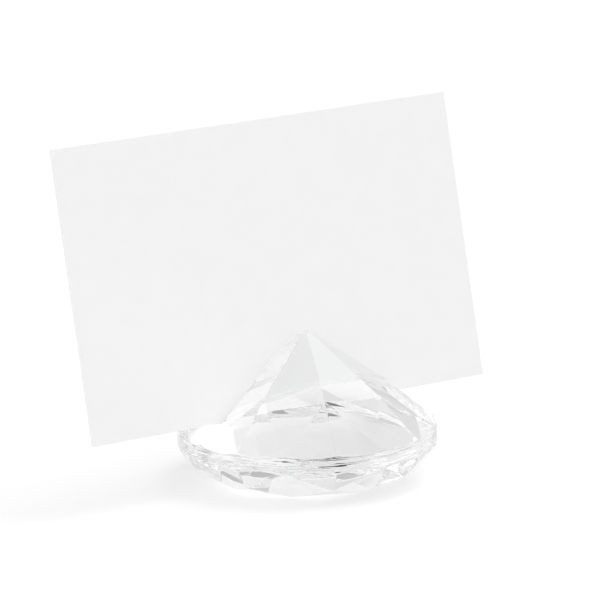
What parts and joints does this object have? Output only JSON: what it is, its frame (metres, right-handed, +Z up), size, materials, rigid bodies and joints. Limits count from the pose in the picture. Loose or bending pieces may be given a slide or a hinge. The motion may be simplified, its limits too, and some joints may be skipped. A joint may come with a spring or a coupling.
{
  "type": "place card holder",
  "caption": "Clear faceted brilliant lying on its flat table, with a leaning slot beside its point that holds an upright blank name card.",
  "frame": {"origin": "centre of the brilliant's flat table, on the surface that it stands on", "axes": "+Z up, X along the slot, the card's face towards -Y and its lean towards +Y"},
  "size_m": [0.09, 0.049, 0.0666],
  "materials": {
    "clear_acrylic": "polished, clear",
    "card_stock": "uncoated, fine grain"
  },
  "bodies": {
    "holder": {"brilliant": "clear_acrylic"},
    "card": {"place_card": "card_stock"}
  },
  "joints": [
    {"name": "card_lift", "type": "slide", "parent": "holder", "child": "card", "axis": [0, 0.2164, 0.9763], "range_m": [0, 0.02]}
  ]
}
